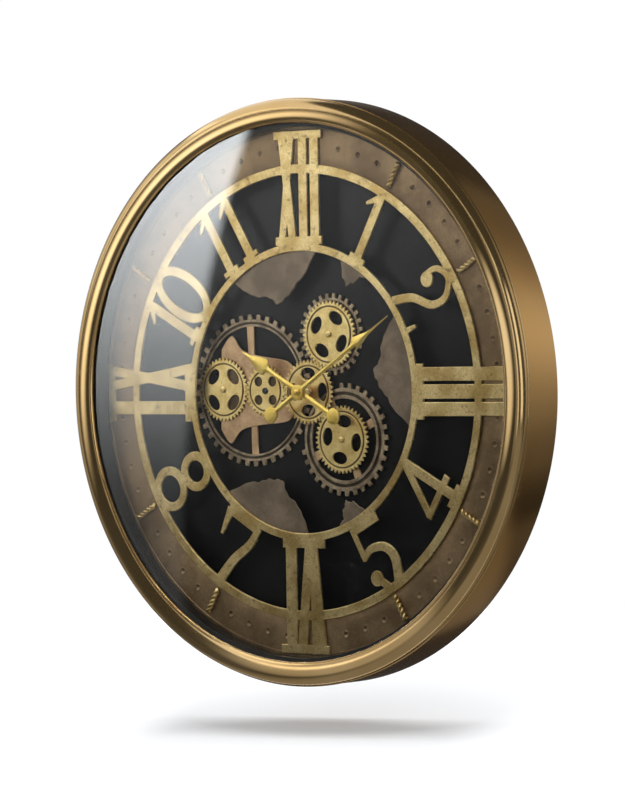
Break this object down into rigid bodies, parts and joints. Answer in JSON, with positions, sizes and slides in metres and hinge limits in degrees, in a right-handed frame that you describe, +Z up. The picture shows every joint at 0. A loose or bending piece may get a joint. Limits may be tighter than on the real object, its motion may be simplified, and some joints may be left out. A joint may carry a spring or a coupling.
{
  "type": "gear wall clock",
  "caption": "Round drum-cased wall clock with a rolled gilt bezel, glass, a skeleton numeral dial with Roman and Arabic hours, spade hands and a train of turning brass gears.",
  "frame": {"origin": "centre of the clock's back, on the wall plane that its bumper pads touch, on the hands' axis", "axes": "+Z up, +X to the right of someone reading the dial, +Y into the wall, so the dial faces -Y"},
  "size_m": [0.6, 0.0655, 0.6],
  "materials": {
    "bezel_gilt": "polished gilt",
    "case_gilt": "satin gilt",
    "glass": "clear float glass",
    "black_rubber": "matt",
    "black_lacquer": "gloss black",
    "chapter_bronze": "mottled bronze",
    "leaf_bronze": "mottled bronze",
    "antique_brass": "speckled antique brass",
    "gear_brass": "worn brass",
    "dark_bronze": "dark bronze",
    "hand_gold": "satin gold",
    "steel": "zinc plated",
    "black_plastic": "moulded",
    "white_plastic": "moulded",
    "cell_jacket": "plain jacket"
  },
  "bodies": {
    "case": {"case_drum": "case_gilt", "bumper_pad_1": "black_rubber", "bumper_pad_2": "black_rubber", "bumper_pad_3": "black_rubber", "bumper_pad_4": "black_rubber", "front_bezel": "bezel_gilt", "glass_lens": "glass", "glass_gasket": "black_rubber", "inner_shroud": "black_lacquer", "back_board": "black_lacquer", "board_bracket_1": "steel", "board_bracket_2": "steel", "board_bracket_3": "steel", "board_bracket_4": "steel", "board_bracket_5": "steel", "board_bracket_6": "steel", "chapter_ring": "chapter_bronze", "dial_standoff_1": "steel", "dial_standoff_2": "steel", "dial_standoff_3": "steel", "dial_standoff_4": "steel", "dial_standoff_5": "steel", "dial_standoff_6": "steel", "numeral_dial": "antique_brass", "large_leaf_1": "leaf_bronze", "large_leaf_2": "leaf_bronze", "large_leaf_3": "leaf_bronze", "small_leaf_1": "leaf_bronze", "small_leaf_2": "leaf_bronze", "large_ring_gear": "dark_bronze", "upper_ring_gear": "dark_bronze", "lower_ring_gear": "dark_bronze", "ring_gear_pivot": "steel", "bridge_plate": "dark_bronze", "bridge_pillar_1": "steel", "bridge_pillar_2": "steel", "bridge_pillar_3": "steel", "bridge_pillar_4": "steel", "upper_stud": "steel", "lower_stud": "steel", "idler_stud": "steel", "gear_retainer": "steel", "bush_nut": "steel", "quartz_movement": "black_plastic", "time_cell": "cell_jacket", "gear_motor": "black_plastic", "motor_cell": "cell_jacket", "hanger_plate": "steel"},
    "minute": {"minute_hand": "hand_gold", "minute_arbor": "steel", "hand_nut": "hand_gold"},
    "hour": {"hour_hand": "hand_gold"},
    "setting": {"setting_wheel": "white_plastic"},
    "left": {"left_gear": "gear_brass", "drive_arbor": "steel"},
    "idler": {"idler_gear": "gear_brass"},
    "center": {"center_gear": "gear_brass"},
    "upper": {"upper_gear": "gear_brass"},
    "lower": {"lower_gear": "gear_brass"},
    "switch": {"motor_switch": "white_plastic"}
  },
  "joints": [
    {"name": "minute_turn", "type": "hinge", "parent": "case", "child": "minute", "pos_m": [0, 0, 0], "axis": [0, 1, 0], "continuous": true},
    {"name": "hour_turn", "type": "hinge", "parent": "case", "child": "hour", "pos_m": [0, 0, 0], "axis": [0, 1, 0], "continuous": true},
    {"name": "setting_turn", "type": "hinge", "parent": "case", "child": "setting", "pos_m": [0, 0, 0.014], "axis": [0, 1, 0], "continuous": true},
    {"name": "left_gear_turn", "type": "hinge", "parent": "case", "child": "left", "pos_m": [-0.11516, 0, 0.00302], "axis": [0, 1, 0], "continuous": true},
    {"name": "idler_gear_turn", "type": "hinge", "parent": "case", "child": "idler", "pos_m": [-0.05758, 0, 0.00151], "axis": [0, 1, 0], "continuous": true},
    {"name": "center_gear_turn", "type": "hinge", "parent": "case", "child": "center", "pos_m": [0, 0, 0], "axis": [0, 1, 0], "continuous": true},
    {"name": "upper_gear_turn", "type": "hinge", "parent": "case", "child": "upper", "pos_m": [0.02896, 0, 0.05886], "axis": [0, 1, 0], "continuous": true},
    {"name": "lower_gear_turn", "type": "hinge", "parent": "case", "child": "lower", "pos_m": [0.04398, 0, -0.04867], "axis": [0, 1, 0], "continuous": true},
    {"name": "switch_slide", "type": "slide", "parent": "case", "child": "switch", "axis": [1, 0, 0], "range_m": [0, 0.004]}
  ],
  "couplings": [
    {"joint": "hour_turn", "follows": "minute_turn", "ratio": 0.083333},
    {"joint": "setting_turn", "follows": "minute_turn", "ratio": -3},
    {"joint": "idler_gear_turn", "follows": "left_gear_turn", "ratio": -1.25},
    {"joint": "center_gear_turn", "follows": "left_gear_turn", "ratio": 1},
    {"joint": "upper_gear_turn", "follows": "left_gear_turn", "ratio": -0.95238},
    {"joint": "lower_gear_turn", "follows": "left_gear_turn", "ratio": -0.95238}
  ]
}
